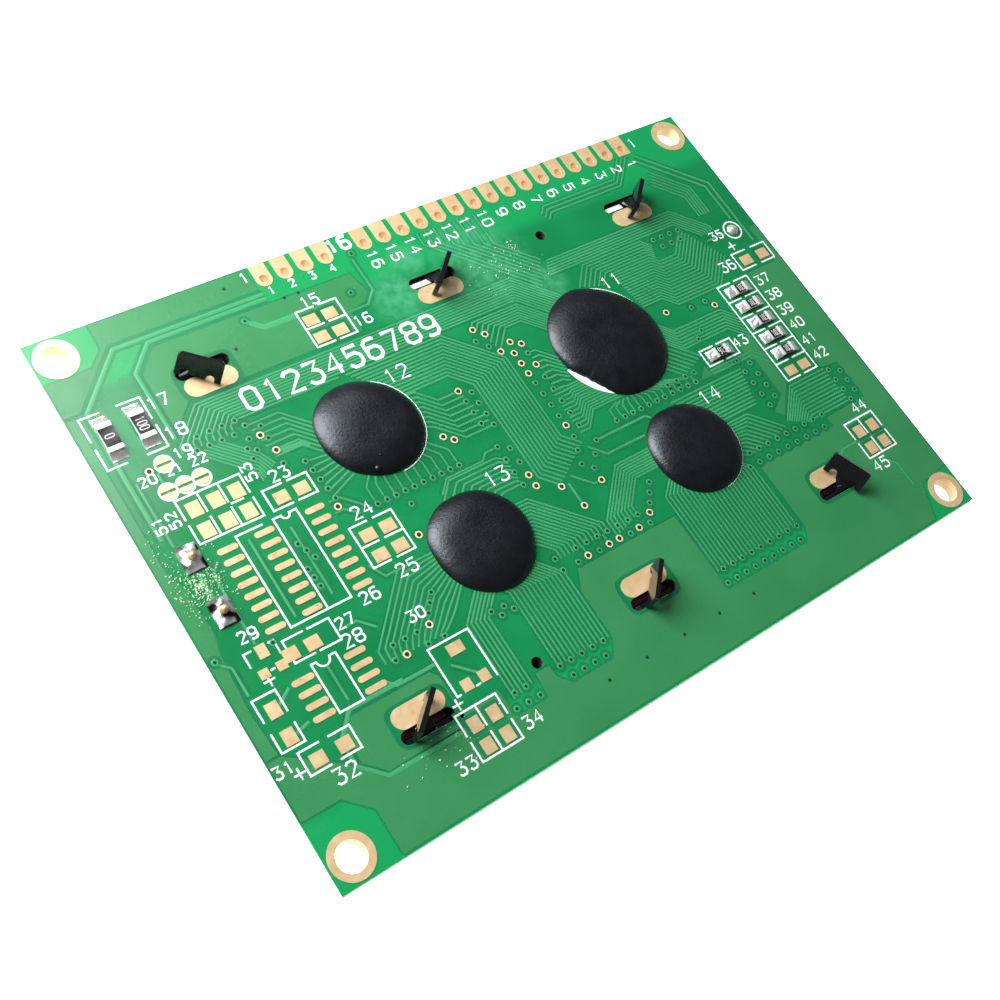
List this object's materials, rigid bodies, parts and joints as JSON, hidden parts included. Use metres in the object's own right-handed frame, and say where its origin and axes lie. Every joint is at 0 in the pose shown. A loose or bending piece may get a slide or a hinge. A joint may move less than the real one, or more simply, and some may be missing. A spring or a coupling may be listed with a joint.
{
  "type": "character lcd module",
  "caption": "Character LCD module: a green circuit board with chips under black resin domes, and behind it a folded black bezel round a backlit glass display, with gilded pads on one edge.",
  "frame": {"origin": "middle of the bezel's flat front face, on which the module lies, at Z = 0", "axes": "+X along the board's long side towards pin 1 of the long row, +Y across it towards the edge with the connector rows, +Z out of the board's back, where the chips are"},
  "size_m": [0.087, 0.06, 0.0129],
  "materials": {
    "mask_green": "satin green lacquer over glass-fibre laminate",
    "gilded_copper": "bright gilded copper",
    "black_steel": "gloss black lacquer on folded steel",
    "white_ink": "matt white printing ink",
    "blue_film": "dark blue polarising film",
    "clear_glass": "clear polished glass",
    "pink_rubber": "soft pink silicone",
    "white_film": "matt white film",
    "clear_acrylic": "clear acrylic",
    "white_plastic": "satin white moulding",
    "lamp_white": "white package with a yellow window",
    "tinned_wire": "browned tinned wire",
    "black_resin": "satin black epoxy",
    "chip_ceramic": "black glazed ceramic with tinned ends",
    "solder": "bright solder"
  },
  "bodies": {
    "root": {"circuit_board": "mask_green", "mounting_rings": "gilded_copper", "row_pads": "gilded_copper", "bus_pads": "gilded_copper", "tab_pads": "gilded_copper", "part_pads": "gilded_copper", "jumper_pads": "gilded_copper", "printed_lines": "white_ink", "bezel": "black_steel", "front_polariser": "blue_film", "front_glass": "clear_glass", "rear_glass": "clear_glass", "rear_polariser": "blue_film", "upper_contact_strip": "pink_rubber", "lower_contact_strip": "pink_rubber", "diffuser_film": "white_film", "light_guide": "clear_acrylic", "reflector_film": "white_film", "backlight_frame": "white_plastic", "lamp_board": "lamp_white", "lamps": "lamp_white", "upper_lamp_lead": "tinned_wire", "lower_lamp_lead": "tinned_wire", "chip_dome_1": "black_resin", "chip_dome_2": "black_resin", "chip_dome_3": "black_resin", "chip_dome_4": "black_resin", "ladder_resistor_1": "chip_ceramic", "ladder_resistor_2": "chip_ceramic", "ladder_resistor_3": "chip_ceramic", "ladder_resistor_4": "chip_ceramic", "ladder_resistor_5": "chip_ceramic", "timing_resistor": "chip_ceramic", "lamp_resistor_1": "chip_ceramic", "lamp_resistor_2": "chip_ceramic", "resistor_solder": "solder", "lead_solder": "solder", "jumper_solder": "solder"}
  },
  "joints": []
}
